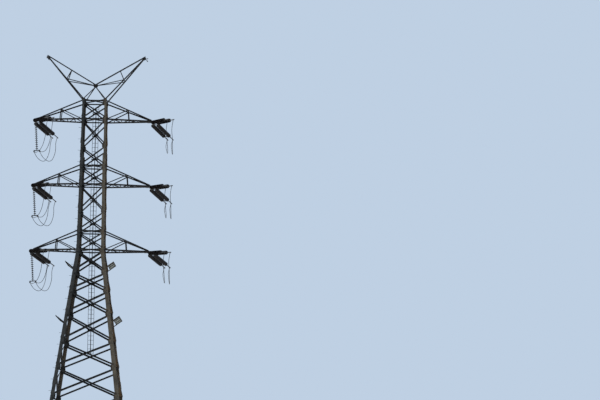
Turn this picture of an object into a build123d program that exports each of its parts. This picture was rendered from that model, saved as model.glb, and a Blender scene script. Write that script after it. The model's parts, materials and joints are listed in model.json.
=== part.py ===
"""Double circuit lattice strain tower for an overhead power line, in millimetres.

The origin is on the ground under the middle of the body. X runs along the crossarms, Y across
the body from the front face to the back face, and Z is up.
"""

from build123d import *
from math import cos, radians, sin, tan
import os

os.makedirs("parts", exist_ok=True)

# Body: widths are over the outer faces of the leg angles, heights are from the ground
base_width = 7700
waist_width = 1900
cage_top_width = 1668
foot_level = 400
splay_panels = [3210, 3000, 2580, 2280, 2030, 1780, 1930, 1590, 1330, 1534]
waist_level = foot_level + sum(splay_panels)
arm_spacing = 4588
arm_depth = 1300
cage_split = 0.43
arm_levels = [waist_level + number * arm_spacing for number in range(3)]
cage_top = arm_levels[-1] + arm_depth
leg_overrun = 150
leg_top = cage_top + leg_overrun

# Leg angles: flange widths from the foot up, one plate thickness throughout
lower_leg = 250
middle_leg = 200
upper_leg = 140
leg_plate = 20
upper_leg_start = arm_levels[1] + arm_depth + (arm_spacing - arm_depth) / 4
splice_length = 520
splice_plate = 12
splice_margin = 40

# Face bracing
lower_bar = 120
cage_bar = 90
bar_plate = 10
gusset_plate = 12
lower_gusset = 340
lower_gusset_half = 280
foot_clearance = 10
bracing_foot = foot_level + foot_clearance
cage_gusset = 250
cage_gusset_half = 230
packer = 90
bar_setback = 150
inner_bar_inset = 140
plan_bar = 70
plan_bar_plate = 8
plan_corner = 300
plan_bar_start = 150

# Crossarms
arm_reach = 4160
arm_chord = 100
arm_chord_plate = 10
arm_bar = 60
arm_bar_plate = 7
arm_root_inset = 80
arm_floor_lift = 6
top_chord_share = 0.9
top_chord_lift = 55
arm_tip_half_width = 110
arm_post_share = 0.475
arm_floor_shares = [0.16, 0.32, arm_post_share, 0.66, 0.83]
arm_tip_setback = 60
arm_top_setback = 180
arm_overrun = 0.08
tip_plate = 20
tip_plate_lap = 4
tip_plate_length = 480
tip_plate_half = 180
tip_plate_chamfer = 60
tip_plate_flare = 90

# Earth wire peak
apex_height = 1240
apex_plate = 16
apex_gusset = 12
apex_half_length = 150
apex_half_width = 116
apex_above = 40
apex_below = 190
strut_drop = 125
cap_margin = 60
horn_reach = 3460
horn_rise = 3285
horn_drop = 20
horn_bar_drop = 60
horn_root_offset = 40
horn_upper_joint = 0.495
horn_lower_joint = 0.46
horn_tip_back = 60
horn_tip_side = 25
horn_gusset_length = 330
horn_gusset_top = 130
horn_gusset_bottom = 360
horn_nose_top = 40
horn_nose_side = 120
horn_nose_bottom = 230
horn_nose_reach = 40
horn_gusset_plate = 20
horn_chord = 80
horn_bar = 55
horn_plate = 8

# Foundation caps
cap_height = 370
cap_top_width = 720
cap_base_width = 1000
foot_plate = 30
foot_plate_width = 560

# Ladder on the back face
ladder_width = 420
ladder_bottom = 14550
ladder_top = cage_top - 160
ladder_stile = 45
ladder_stile_plate = 25
ladder_gap = 10
rung_spacing = 300
rung_size = 20
ladder_rail = 50
ladder_bracket = 60
ladder_bracket_margin = 25

# Strain sets: twin disc strings between two yokes, ending in two dead end clamps
twin_spacing = 400
disc_pitch = 170
disc_count = 14
disc_radius = 140
disc_neck = 45
disc_crown = 110
string_sides = 6
link_length = 180
link_width = 60
yoke_length = 150
yoke_plate = 20
yoke_margin = 45
clamp_length = 750
clamp_radius = 32
clamp_lug = 600
near_azimuth = (0.3855, -0.9227)
near_droop = 4.5
far_azimuth = (0.3061, 0.9520)
far_droop = 9.5

# Pilot strings that hold the jumpers on the left arms
pilot_pitch = 146
pilot_count = 12
pilot_radius = 100
pilot_neck = 35
pilot_crown = 95
pilot_link = 245
pilot_lean = 4
pilot_inset = 40
pilot_lug = 50
pilot_rod = 18

# Lugs under the crossarm tips, where the strings are hung
lug_inset = 50
lug_side = 95
lug_drop = 110
lug_width = 60
lug_depth = 35
lug_length = 45
clamp_lap = 60
clamp_lug_radius = 24
clamp_lug_length = 130
clamp_lug_lean = (-0.40, -0.917)
saddle_length = 150
saddle_size = 84
saddle_flare = 12
saddle_drop = 150
saddle_stem = 40
pilot_yoke_margin = 30
pilot_yoke_near = 40
pilot_yoke_far = 100
cord_diameter = 34
cord_clearance = 1

# Earth wire clamps at the horn tips
earth_clamp = 420
earth_rod = 16
earth_sleeve = 29
earth_sleeve_share = 0.45
earth_block = 60
earth_block_length = 50
earth_drop = 150

# Inclined side frames below the waist, each with light boards across it
frame_levels = [20400, 16600]
frame_boards = [2, 3]
frame_reach = 530
frame_rise = 385
frame_inset = 50
frame_overhang = 350
frame_start_share = 0.31
frame_bar = 60
frame_plate = 6
board_share = 0.62


def half_width(height):
    """Half of the body's outer width at a height."""
    if height <= waist_level:
        share = height / waist_level
        return (base_width + (waist_width - base_width) * share) / 2
    share = (height - waist_level) / (cage_top - waist_level)
    return (waist_width + (cage_top_width - waist_width) * share) / 2


def leg_flange(height):
    """Flange width of the leg angle at a height."""
    if height < waist_level:
        return lower_leg
    return middle_leg if height < upper_leg_start else upper_leg


def share_point(start, end, share):
    """The point at a share of the way from start to end."""
    return start + (end - start) * share


def side_out(side):
    """Level outward direction of a side: 0 front, 1 right, 2 back, 3 left."""
    return [Vector(0, -1, 0), Vector(1, 0, 0), Vector(0, 1, 0), Vector(-1, 0, 0)][side]


def side_along(side):
    """Level direction along a side, to the right as seen from outside."""
    return [Vector(1, 0, 0), Vector(0, 1, 0), Vector(-1, 0, 0), Vector(0, -1, 0)][side]


def face_point(side, height, across):
    """A point on the outer plane of a side, measured from the side's middle line."""
    return side_out(side) * half_width(height) + side_along(side) * across + Vector(0, 0, height)


def face_normal(side, height):
    """Outward normal of the body's sloping side below or above the waist."""
    low, high = (foot_level, waist_level) if height < waist_level else (waist_level, cage_top)
    up = face_point(side, high, 0) - face_point(side, low, 0)
    return side_along(side).cross(up).normalized()


def angle_bar(start, end, outward, width, plate, lift=0, inner=False, heel=1):
    """An angle section between two points.

    Its flat flange lies at lift from the line, on the outward side or, for an inner bar, on the
    other side, and its other flange stands away from the line at one edge, chosen by heel.
    """
    way = -1 if inner else 1
    run = end - start
    edge = heel * width / 2
    corners = [
        (way * lift, -edge),
        (way * lift, edge),
        (way * (lift + width), edge),
        (way * (lift + width), edge - heel * plate),
        (way * (lift + plate), edge - heel * plate),
        (way * (lift + plate), -edge),
    ]
    with BuildSketch(Plane(origin=start, x_dir=outward, z_dir=run)) as section:
        with BuildLine():
            Polyline(*corners, close=True)
        make_face()
    return extrude(section.sketch, amount=run.length, dir=run.normalized(), mode=Mode.PRIVATE)


def flat_plate(plane, corners, thickness):
    """A plate drawn on a plane and standing up from it by its thickness."""
    with BuildSketch(plane) as outline:
        with BuildLine():
            Polyline(*corners, close=True)
        make_face()
    return extrude(outline.sketch, amount=thickness, mode=Mode.PRIVATE)


def leg_piece(side_x, side_y, low, high, flange, plate, lift=0):
    """A length of leg angle with its heel on the body's corner line and level ends."""
    foot = Vector(side_x * (half_width(low) + lift), side_y * (half_width(low) + lift), low)
    head = Vector(side_x * (half_width(high) + lift), side_y * (half_width(high) + lift), high)
    corners = [
        (0, 0),
        (-side_x * flange, 0),
        (-side_x * flange, -side_y * plate),
        (-side_x * plate, -side_y * plate),
        (-side_x * plate, -side_y * flange),
        (0, -side_y * flange),
    ]
    with BuildSketch(Plane.XY.offset(low)) as section:
        with BuildLine():
            Polyline(*[(foot.X + x, foot.Y + y) for x, y in corners], close=True)
        make_face()
    run = head - foot
    return extrude(section.sketch, amount=run.length, dir=run.normalized(), mode=Mode.PRIVATE)


def gussets(side, height, width, above, below):
    """The two gusset plates of a side at one panel level, on the legs' inner faces."""
    normal = face_normal(side, height)
    seat = leg_plate * normal.dot(side_out(side)) + gusset_plate
    corner_gap = leg_plate + gusset_plate + 5
    plates = []
    for way in (-1, 1):
        origin = face_point(side, height, way * half_width(height)) - normal * seat
        plane = Plane(origin=origin, x_dir=side_along(side) * -way, z_dir=normal)
        lean = half_width(height) - half_width(height + above)
        corners = [
            (corner_gap + lean, above),
            (corner_gap, -below),
            (width * 0.7, -below),
            (width, -below * 0.4),
            (width, above * 0.4),
            (width * 0.7, above),
        ]
        plates.append(flat_plate(plane, [(x, -way * y) for x, y in corners], gusset_plate))
    return plates


def outer_half(height):
    """Half of the distance between the two ends of outer bars at a height."""
    return half_width(height) - leg_flange(height) / 2


def crossing_height(low, high):
    """Height at which the two bars of a panel cross."""
    low_end = low + bar_setback
    high_end = high - bar_setback
    wide = outer_half(low_end)
    narrow = outer_half(high_end)
    return high_end - (high_end - low_end) * narrow / (narrow + wide)


def face_panel(side, low, high, width):
    """One panel of crossed bars: one outside the legs, one inside on the gussets."""
    normal = face_normal(side, (low + high) / 2)
    seat = leg_plate * normal.dot(side_out(side)) + gusset_plate
    low_end = low + bar_setback
    high_end = high - bar_setback
    outer_low = outer_half(low_end)
    outer_high = outer_half(high_end)
    inner_low = half_width(low_end) - inner_bar_inset
    inner_high = half_width(high_end) - inner_bar_inset
    outer = angle_bar(
        face_point(side, high_end, -outer_high),
        face_point(side, low_end, outer_low),
        normal, width, bar_plate,
    )
    inner = angle_bar(
        face_point(side, low_end, -inner_low),
        face_point(side, high_end, inner_high),
        normal, width, bar_plate, lift=seat, inner=True,
    )
    crossing = crossing_height(low, high)
    plane = Plane(
        origin=face_point(side, crossing, 0) - normal * seat,
        x_dir=side_along(side),
        z_dir=normal,
    )
    return [outer, inner, flat_plate(plane, square_outline(packer / 2), seat)]


def face_belt(side, height, width):
    """A level angle between the gussets of one side, its upper flange pointing inward."""
    reach = half_width(height) - inner_bar_inset
    seat = leg_plate + gusset_plate
    return angle_bar(
        face_point(side, height, reach),
        face_point(side, height, -reach),
        side_out(side), width, bar_plate, lift=seat, inner=True,
        heel=-1,
    )


def face_plane(side, height, lift=0):
    """The outer plane of a side, with its middle line as local Y."""
    normal = face_normal(side, height)
    origin = face_point(side, height, 0) + normal * lift
    return Plane(origin=origin, x_dir=side_along(side), z_dir=normal)


def set_plane(side_x, level, azimuth, droop):
    """A strain set's frame at a crossarm tip: X along the set, Y across it, Z up."""
    reach = Vector(azimuth[0], azimuth[1], 0).normalized()
    across = Vector(-reach.Y, reach.X, 0)
    pull = reach * cos(radians(droop)) - Vector(0, 0, sin(radians(droop)))
    side_y = 1 if azimuth[1] > 0 else -1
    anchor = Vector(side_x * (arm_reach - lug_inset), side_y * lug_side, level - lug_drop)
    return Plane(origin=anchor, x_dir=pull, z_dir=pull.cross(across))


def pilot_plane(level, along=0):
    """A pilot string's frame under a left crossarm: Z along the string, downwards."""
    pull = Vector(sin(radians(pilot_lean)), 0, -cos(radians(pilot_lean)))
    anchor = Vector(pilot_inset - arm_reach, 0, level - lug_drop)
    return Plane(origin=anchor + pull * along, x_dir=Vector(0, 1, 0), z_dir=pull)


def back_bar(across, wide, near, deep, low, high):
    """A bar up the back face with level ends: across and near give its place."""
    foot = face_point(2, low, across)
    head = face_point(2, high, across)
    with BuildSketch(Plane.XY.offset(low)) as section:
        with Locations((foot.X, foot.Y + near + deep / 2)):
            Rectangle(wide, deep)
    run = head - foot
    return extrude(section.sketch, amount=run.length, dir=run.normalized(), mode=Mode.PRIVATE)


def disc_string(count, pitch, radius, neck, crown):
    """A string of discs along Z: each disc is a bell and its underside, with flat sides."""
    with BuildPart() as discs:
        for number in range(count):
            start = number * pitch
            for low, high, wide_low, wide_high in (
                (start, start + crown, neck, radius),
                (start + crown, start + pitch, radius, neck),
            ):
                with BuildSketch(Plane.XY.offset(low)):
                    RegularPolygon(wide_low, string_sides)
                with BuildSketch(Plane.XY.offset(high)):
                    RegularPolygon(wide_high, string_sides)
                loft(ruled=True)
    return discs.part


def polygon_rod(plane, radius, length):
    """An eight sided rod standing on a plane."""
    with BuildSketch(plane) as section:
        RegularPolygon(radius, 8)
    return extrude(section.sketch, amount=length, mode=Mode.PRIVATE)


def flat_on(plane, outline, thickness):
    """A plate centred on a plane."""
    return flat_plate(plane.offset(-thickness / 2), outline, thickness)


def square_outline(half):
    """The corners of a square about the origin."""
    return [(-half, -half), (half, -half), (half, half), (-half, half)]


def corner_radii(points):
    """Arc radii that take up most of the shorter run at each corner."""
    radii = []
    for before, corner, after in zip(points, points[1:], points[2:]):
        first = corner - before
        second = after - corner
        turn = radians(first.get_angle(second))
        radii.append(0.45 * min(first.length, second.length) / tan(turn / 2))
    return radii


sides = ["front", "right", "back", "left"]
splay_levels = [foot_level + sum(splay_panels[:count]) for count in range(len(splay_panels) + 1)]
cage_levels = []
for level in arm_levels:
    middle = level + arm_depth + (arm_spacing - arm_depth) * cage_split
    cage_levels += [level, level + arm_depth, middle]
cage_levels.pop()
belt_levels = [level for base in arm_levels for level in (base, base + arm_depth)]

# Legs, each with its foot plate and splice covers
corners = {
    "leg_front_left": (-1, -1),
    "leg_front_right": (1, -1),
    "leg_back_right": (1, 1),
    "leg_back_left": (-1, 1),
}
splice_centres = [
    (splay_levels[1] + splay_levels[2]) / 2,
    (splay_levels[4] + splay_levels[5]) / 2,
    upper_leg_start,
]
foot_centre = half_width(foot_level) - lower_leg / 3
for name, (side_x, side_y) in corners.items():
    with BuildPart() as leg:
        add([
            leg_piece(side_x, side_y, foot_level, waist_level, lower_leg, leg_plate),
            leg_piece(side_x, side_y, waist_level, upper_leg_start, middle_leg, leg_plate),
            leg_piece(side_x, side_y, upper_leg_start, leg_top, upper_leg, leg_plate),
        ])
        for centre in splice_centres:
            cover = leg_flange(centre + splice_length) - splice_margin
            add(leg_piece(
                side_x, side_y, centre - splice_length / 2, centre + splice_length / 2,
                cover, splice_plate, lift=splice_plate,
            ))
        with BuildSketch(Plane.XY.offset(foot_level - foot_plate)):
            with Locations((side_x * foot_centre, side_y * foot_centre)):
                Rectangle(foot_plate_width, foot_plate_width)
        extrude(amount=foot_plate)
    leg.part.label = name
    export_step(leg.part, f"parts/{name}.step")

# Foundation caps under the four feet
with BuildPart() as foundation_caps:
    for side_x, side_y in corners.values():
        with BuildSketch(Plane.XY.offset(0)):
            with Locations((side_x * foot_centre, side_y * foot_centre)):
                Rectangle(cap_base_width, cap_base_width)
        with BuildSketch(Plane.XY.offset(cap_height)):
            with Locations((side_x * foot_centre, side_y * foot_centre)):
                Rectangle(cap_top_width, cap_top_width)
        loft()
foundation_caps.part.label = "foundation_caps"
export_step(foundation_caps.part, "parts/foundation_caps.step")

# Crossed bracing of the four sides, below and above the waist
for side, side_name in enumerate(sides):
    with BuildPart() as splay_face:
        members = []
        for low, high in zip(splay_levels, splay_levels[1:]):
            members += face_panel(side, max(low, bracing_foot), high, lower_bar)
        for level in splay_levels[1:]:
            above = 0 if level == waist_level else lower_gusset_half
            members += gussets(side, level, lower_gusset, above, lower_gusset_half)
        members += gussets(
            side, bracing_foot, lower_gusset, 2 * lower_gusset_half - foot_clearance, 0)
        add(members)
    splay_face.part.label = f"lower_face_{side_name}"
    export_step(splay_face.part, f"parts/lower_face_{side_name}.step")

    with BuildPart() as cage_face:
        members = []
        for low, high in zip(cage_levels, cage_levels[1:]):
            members += face_panel(side, low, high, cage_bar)
        for level in cage_levels:
            above = leg_overrun - 20 if level == cage_top else cage_gusset_half
            below = 0 if level == waist_level else cage_gusset_half
            members += gussets(side, level, cage_gusset, above, below)
        for level in belt_levels:
            members.append(face_belt(side, level, cage_bar))
        add(members)
    cage_face.part.label = f"cage_face_{side_name}"
    export_step(cage_face.part, f"parts/cage_face_{side_name}.step")


# Level bracing inside the body at every belt
with BuildPart() as plan_bracing:
    members = []
    corner_gap = leg_plate + gusset_plate + 8
    for level in belt_levels:
        seat = level + cage_bar / 2
        reach = half_width(level) - corner_gap
        near = reach - plan_corner
        for side_x, side_y in corners.values():
            outline = [
                (side_x * reach, side_y * near),
                (side_x * reach, side_y * reach),
                (side_x * near, side_y * reach),
            ]
            members.append(flat_plate(Plane.XY.offset(seat), outline, plan_bar_plate))
        seat += plan_bar_plate
        ends = reach - plan_bar_start
        for side_y in (-1, 1):
            start = Vector(-ends, side_y * ends, seat)
            end = Vector(ends, -side_y * ends, seat)
            members.append(angle_bar(start, end, Vector(0, 0, 1), plan_bar, plan_bar_plate))
    add(members)
plan_bracing.part.label = "plan_bracing"
export_step(plan_bracing.part, "parts/plan_bracing.step")

arm_names = ["low", "middle", "top"]
hands = {"left": -1, "right": 1}
pulls = ((near_azimuth, near_droop), (far_azimuth, far_droop))

# Crossarms: four chords meeting in a tip plate, with posts, diagonals and lugs
half_chord = arm_chord / 2
plan_bar_wide = arm_bar * 0.8
for hand, side_x in hands.items():
    side = 1 if side_x == 1 else 3
    for arm_name, level in zip(arm_names, arm_levels):
        with BuildPart() as crossarm:
            members = []
            low_lines = []
            for side_y in (-1, 1):
                low_root = face_point(side, level, 0)
                low_root.Y = side_y * (half_width(level) - arm_root_inset)
                top_root = face_point(side, level + arm_depth, 0)
                top_root.Y = side_y * (half_width(level + arm_depth) - arm_root_inset)
                low_tip = Vector(
                    side_x * (arm_reach - arm_tip_setback), side_y * arm_tip_half_width, level)
                top_tip = Vector(
                    side_x * (arm_reach - arm_top_setback), side_y * arm_tip_half_width,
                    level + top_chord_lift)
                low_start = share_point(low_root, low_tip, -arm_overrun)
                top_start = share_point(top_root, top_tip, -arm_overrun)
                out = (low_tip - low_root).cross(top_root - low_root).normalized()
                if out.Y * side_y < 0:
                    out = -out
                turn = side_x * side_y
                members.append(angle_bar(
                    low_start, low_tip, out, arm_chord, arm_chord_plate, -half_chord, True, -turn))
                members.append(angle_bar(
                    top_start, top_tip, out, arm_chord * top_chord_share, arm_chord_plate,
                    -half_chord, True, turn))
                post_foot = share_point(low_root, low_tip, arm_post_share)
                post_head = share_point(top_root, top_tip, arm_post_share)
                brace_foot = share_point(low_root, post_head, -arm_overrun)
                inside = arm_chord_plate - half_chord
                for start in (post_foot, brace_foot):
                    members.append(angle_bar(
                        start, post_head, out, arm_bar, arm_bar_plate, inside, True))
                low_lines.append((low_root, low_tip, post_head))
            floor = Vector(0, 0, arm_floor_lift - half_chord)
            for number, share in enumerate(arm_floor_shares):
                front = share_point(low_lines[0][0], low_lines[0][1], share) + floor
                back = share_point(low_lines[1][0], low_lines[1][1], share) + floor
                members.append(angle_bar(
                    front, back, Vector(0, 0, 1), plan_bar_wide, arm_bar_plate))
                if number + 1 < len(arm_floor_shares):
                    ends = low_lines[(number + 1) % 2][:2]
                    start = front if number % 2 == 0 else back
                    target = share_point(*ends, arm_floor_shares[number + 1]) + floor
                    members.append(angle_bar(
                        start, target, Vector(0, 0, 1), plan_bar_wide, arm_bar_plate))
            members.append(angle_bar(
                low_lines[0][2], low_lines[1][2], Vector(0, 0, 1), arm_bar, arm_bar_plate))
            plate_base = Plane.XY.offset(level - half_chord - tip_plate + tip_plate_lap)
            plate_start = side_x * (arm_reach - tip_plate_length)
            plate_shoulder = side_x * (arm_reach - tip_plate_chamfer)
            plate_end = side_x * arm_reach
            outline = [
                (plate_start, tip_plate_half + tip_plate_flare),
                (plate_shoulder, tip_plate_half),
                (plate_end, tip_plate_half - tip_plate_chamfer),
                (plate_end, tip_plate_chamfer - tip_plate_half),
                (plate_shoulder, -tip_plate_half),
                (plate_start, -tip_plate_half - tip_plate_flare),
            ]
            members.append(flat_plate(plate_base, outline, tip_plate))
            top = lug_drop - half_chord
            for azimuth, droop in pulls:
                plane = set_plane(side_x, level, azimuth, droop)
                outline = [
                    (-lug_length, -lug_depth), (0, -lug_depth), (0, top), (-lug_length, top)]
                side_plane = Plane(
                    origin=plane.from_local_coords((0, -lug_width / 2, 0)),
                    x_dir=plane.x_dir,
                    z_dir=-plane.y_dir,
                )
                members.append(flat_plate(side_plane, outline, -lug_width))
            if side_x == -1:
                members.append(flat_plate(
                    pilot_plane(level), square_outline(pilot_lug / 2), -top))
            add(members)
            split(bisect_by=face_plane(side, level), keep=Keep.TOP)
            split(bisect_by=face_plane(side, foot_level), keep=Keep.TOP)
        crossarm.part.label = f"crossarm_{hand}_{arm_name}"
        export_step(crossarm.part, f"parts/{crossarm.part.label}.step")

# Earth wire peak: four struts under the apex plates, and two horns that meet there
apex = Vector(0, 0, cage_top + apex_height)
seat_level = leg_top + apex_plate
top_spread = half_width(leg_top) - upper_leg / 2
with BuildPart() as peak_struts:
    members = []
    head = apex - Vector(0, 0, strut_drop)
    for side_x, side_y in corners.values():
        foot = Vector(side_x * top_spread, side_y * top_spread, leg_top)
        with BuildSketch(Plane.XY.offset(leg_top)) as cap_plate:
            with Locations((foot.X, foot.Y)):
                Rectangle(upper_leg + cap_margin, upper_leg + cap_margin)
        members.append(extrude(cap_plate.sketch, amount=apex_plate, mode=Mode.PRIVATE))
        members.append(angle_bar(
            share_point(foot, head, -0.1), head, Vector(0, side_y, 0),
            horn_bar, horn_plate, 0, True))
    with BuildSketch(Plane.YZ.offset(-apex_plate / 2)) as middle_plate:
        with Locations((0, apex.Z + (apex_above - apex_below) / 2)):
            Rectangle(2 * apex_half_width, apex_above + apex_below)
    members.append(extrude(middle_plate.sketch, amount=apex_plate, mode=Mode.PRIVATE))
    for side_y in (-1, 1):
        inner = Vector(0, side_y * (apex_half_width - apex_gusset), apex.Z)
        plane = Plane(origin=inner, x_dir=Vector(side_y, 0, 0), z_dir=Vector(0, -side_y, 0))
        outline = [
            (-apex_half_length, apex_above), (-apex_half_length, -apex_below / 2),
            (-apex_half_length / 2, -apex_below), (apex_half_length / 2, -apex_below),
            (apex_half_length, -apex_below / 2), (apex_half_length, apex_above),
        ]
        members.append(flat_plate(plane, outline, -apex_gusset))
    add(members)
    split(bisect_by=Plane.XY.offset(leg_top), keep=Keep.TOP)
peak_struts.part.label = "peak_struts"
export_step(peak_struts.part, "parts/peak_struts.step")

for hand, side_x in hands.items():
    with BuildPart() as horn:
        members = []
        tip = Vector(side_x * horn_reach, 0, cage_top + horn_rise)
        upper_root = apex - Vector(0, 0, horn_drop)
        bar_root = apex - Vector(0, 0, horn_bar_drop)
        members.append(angle_bar(
            upper_root, tip, Vector(0, 0, 1), horn_chord, horn_plate, -horn_plate))
        upper_middle = share_point(upper_root, tip, horn_upper_joint)
        lower_middle = []
        for side_y in (-1, 1):
            root_across = top_spread + horn_root_offset
            root = Vector(side_x * root_across, side_y * root_across, seat_level)
            end = tip + Vector(-side_x * horn_tip_back, side_y * horn_tip_side, -horn_tip_back)
            out = Vector(0, side_y, 0)
            members.append(angle_bar(
                share_point(root, end, -0.04), end, out, horn_chord, horn_plate,
                -horn_chord / 2, True))
            middle = share_point(root, end, horn_lower_joint)
            lower_middle.append(middle)
            lap = out * (-horn_plate / 2)
            members.append(angle_bar(bar_root + lap, middle, out, horn_bar, horn_plate))
            members.append(angle_bar(upper_middle + lap, middle, out, horn_bar, horn_plate))
        members.append(angle_bar(
            lower_middle[0], lower_middle[1], Vector(0, 0, 1), horn_bar, horn_plate))
        back = -side_x * horn_gusset_length
        nose = side_x * horn_nose_reach
        outline = [
            (back, -horn_gusset_top), (nose / 4, -horn_nose_top), (nose, -horn_nose_side),
            (-nose, -horn_nose_bottom), (back, -horn_gusset_bottom),
        ]
        gusset = Plane(origin=tip, x_dir=Vector(1, 0, 0), z_dir=Vector(0, -1, 0))
        members.append(flat_on(gusset, outline, horn_gusset_plate))
        add(members)
        split(bisect_by=Plane.XY.offset(seat_level), keep=Keep.TOP)
        cut_plane = Plane.YZ.offset(side_x * apex_plate / 2)
        split(bisect_by=cut_plane, keep=Keep.TOP if side_x == 1 else Keep.BOTTOM)
    horn.part.label = f"horn_{hand}"
    export_step(horn.part, f"parts/horn_{hand}.step")

# Ladder up the middle of the back face, on brackets at the crossings
back = 2
ladder_depth = lower_bar + ladder_gap
with BuildPart() as ladder:
    members = []
    stile_line = (ladder_width - ladder_stile_plate) / 2
    rung_near = ladder_depth + (ladder_stile - rung_size) / 2
    rail_near = rung_near + rung_size * 0.8
    for low, high in ((ladder_bottom, waist_level), (waist_level, ladder_top)):
        for across in (-stile_line, stile_line):
            members.append(back_bar(
                across, ladder_stile_plate, ladder_depth, ladder_stile, low, high))
        members.append(back_bar(0, ladder_rail, rail_near, ladder_rail, low, high))
    rung_count = int((ladder_top - ladder_bottom) / rung_spacing)
    for number in range(rung_count):
        height = ladder_bottom + rung_spacing * (number + 0.5)
        members.append(back_bar(
            0, ladder_width - ladder_stile_plate, rung_near, rung_size, height, height + rung_size))
    for levels, bar in ((splay_levels, lower_bar), (cage_levels, cage_bar)):
        for low, high in zip(levels, levels[1:]):
            height = crossing_height(low, high)
            if not ladder_bottom < height < ladder_top:
                continue
            plane = face_plane(back, height, bar)
            half = ladder_width / 2 + ladder_bracket_margin
            tall = ladder_bracket / 2
            outline = [(-half, -tall), (half, -tall), (half, tall), (-half, tall)]
            reach = (ladder_depth + 8) * plane.z_dir.Y - bar
            members.append(flat_plate(plane, outline, reach))
    add(members)
ladder.part.label = "ladder"
export_step(ladder.part, "parts/ladder.step")

# Jumper saddle: a block with a bore that widens to both mouths
with BuildPart() as saddle:
    with BuildSketch(Plane.XY.offset(-saddle_length / 2)):
        Rectangle(saddle_size, saddle_size)
    extrude(amount=saddle_length)
    throat = cord_diameter / 2 + cord_clearance
    mouth = throat + saddle_flare
    with BuildSketch(Plane.XZ):
        with BuildLine():
            Polyline(
                (0, -saddle_length / 2),
                (mouth, -saddle_length / 2),
                (throat, -saddle_length / 12),
                (throat, saddle_length / 12),
                (mouth, saddle_length / 2),
                (0, saddle_length / 2),
                close=True,
            )
        make_face()
    revolve(axis=Axis.Z, mode=Mode.SUBTRACT)

# Insulators and fittings at every crossarm tip
strain_string = disc_string(disc_count, disc_pitch, disc_radius, disc_neck, disc_crown)
pilot_string = disc_string(pilot_count, pilot_pitch, pilot_radius, pilot_neck, pilot_crown)
string_start = link_length + yoke_length
string_end = string_start + disc_count * disc_pitch
clamp_start = string_end + yoke_length
pilot_end = pilot_link + pilot_count * pilot_pitch
half_twin = twin_spacing / 2
yoke_side = half_twin + yoke_margin
pilot_yoke_side = half_twin + pilot_yoke_margin
half_link = link_width / 2
link_end = link_length - 10
near_yoke = [
    (0, -half_link), (link_end, -half_link), (string_start, -yoke_side),
    (string_start, yoke_side), (link_end, half_link), (0, half_link),
]
far_yoke = [
    (string_end, -yoke_side), (clamp_start, -yoke_side),
    (clamp_start, yoke_side), (string_end, yoke_side),
]
pilot_yoke = [
    (pilot_yoke_near, -pilot_yoke_side), (pilot_yoke_far, -pilot_yoke_side),
    (pilot_yoke_far, pilot_yoke_side), (pilot_yoke_near, pilot_yoke_side),
]
for hand, side_x in hands.items():
    for arm_name, level in zip(arm_names, arm_levels):
        with BuildPart() as insulators:
            strings = []
            for azimuth, droop in pulls:
                frame = set_plane(side_x, level, azimuth, droop)
                for way in (-half_twin, half_twin):
                    start = frame.from_local_coords((string_start, way, 0))
                    place = Plane(origin=start, x_dir=frame.y_dir, z_dir=frame.x_dir)
                    strings.append(strain_string.moved(place.location))
            if side_x == -1:
                place = pilot_plane(level, pilot_link)
                strings.append(pilot_string.moved(place.location))
            add(strings)
        insulators.part.label = f"insulators_{hand}_{arm_name}"
        export_step(insulators.part, f"parts/{insulators.part.label}.step")

        with BuildPart() as fittings:
            members = []
            for azimuth, droop in pulls:
                frame = set_plane(side_x, level, azimuth, droop)
                members.append(flat_on(frame, near_yoke, yoke_plate))
                members.append(flat_on(frame, far_yoke, yoke_plate))
                for way in (-half_twin, half_twin):
                    start = frame.from_local_coords((clamp_start - clamp_lap, way, 0))
                    members.append(polygon_rod(
                        Plane(origin=start, x_dir=frame.y_dir, z_dir=frame.x_dir),
                        clamp_radius, clamp_length + clamp_lap))
                    lug_start = frame.from_local_coords((clamp_start + clamp_lug, way, 0))
                    lug_pull = frame.x_dir * clamp_lug_lean[0] + frame.z_dir * clamp_lug_lean[1]
                    members.append(polygon_rod(
                        Plane(origin=lug_start, x_dir=frame.y_dir, z_dir=lug_pull),
                        clamp_lug_radius, clamp_lug_length))
            if side_x == -1:
                members.append(polygon_rod(pilot_plane(level), pilot_rod, pilot_link))
                stem = pilot_plane(level, pilot_end)
                members.append(polygon_rod(stem, pilot_neck, pilot_yoke_far - 10))
                bar = Plane(origin=stem.origin, x_dir=stem.z_dir, z_dir=Vector(0, 1, 0))
                members.append(flat_on(bar, pilot_yoke, yoke_plate))
                for way in (-half_twin, half_twin):
                    middle = bar.from_local_coords((saddle_drop, way, 0))
                    place = Plane(origin=middle, x_dir=bar.x_dir, z_dir=Vector(0, 1, 0))
                    members.append(saddle.part.moved(place.location))
                    hanger = bar.from_local_coords((pilot_yoke_far - 10, way, 0))
                    members.append(polygon_rod(
                        Plane(origin=hanger, z_dir=bar.x_dir), pilot_rod, saddle_stem))
            add(members)
        fittings.part.label = f"fittings_{hand}_{arm_name}"
        export_step(fittings.part, f"parts/{fittings.part.label}.step")

# Earth wire fittings: a clevis and a short dead end clamp each way at both horn tips
for hand, side_x in hands.items():
    with BuildPart() as earth_clamps:
        sleeve = earth_clamp * earth_sleeve_share
        for side_y, (azimuth, droop) in zip((-1, 1), pulls):
            middle = Vector(
                side_x * horn_reach, side_y * horn_gusset_plate / 2,
                cage_top + horn_rise - earth_drop)
            with BuildSketch(Plane(origin=middle, z_dir=Vector(0, side_y, 0))):
                Rectangle(earth_block, earth_block)
            extrude(amount=earth_block_length)
            pull = set_plane(side_x, 0, azimuth, droop).x_dir
            start = middle + Vector(0, side_y * (earth_block_length - 15), 0)
            add(polygon_rod(Plane(origin=start, z_dir=pull), earth_rod, earth_clamp))
            add(polygon_rod(
                Plane(origin=start + pull * (earth_clamp - sleeve), z_dir=pull),
                earth_sleeve, sleeve))
    earth_clamps.part.label = f"earth_wire_clamps_{hand}"
    export_step(earth_clamps.part, f"parts/{earth_clamps.part.label}.step")

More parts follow.
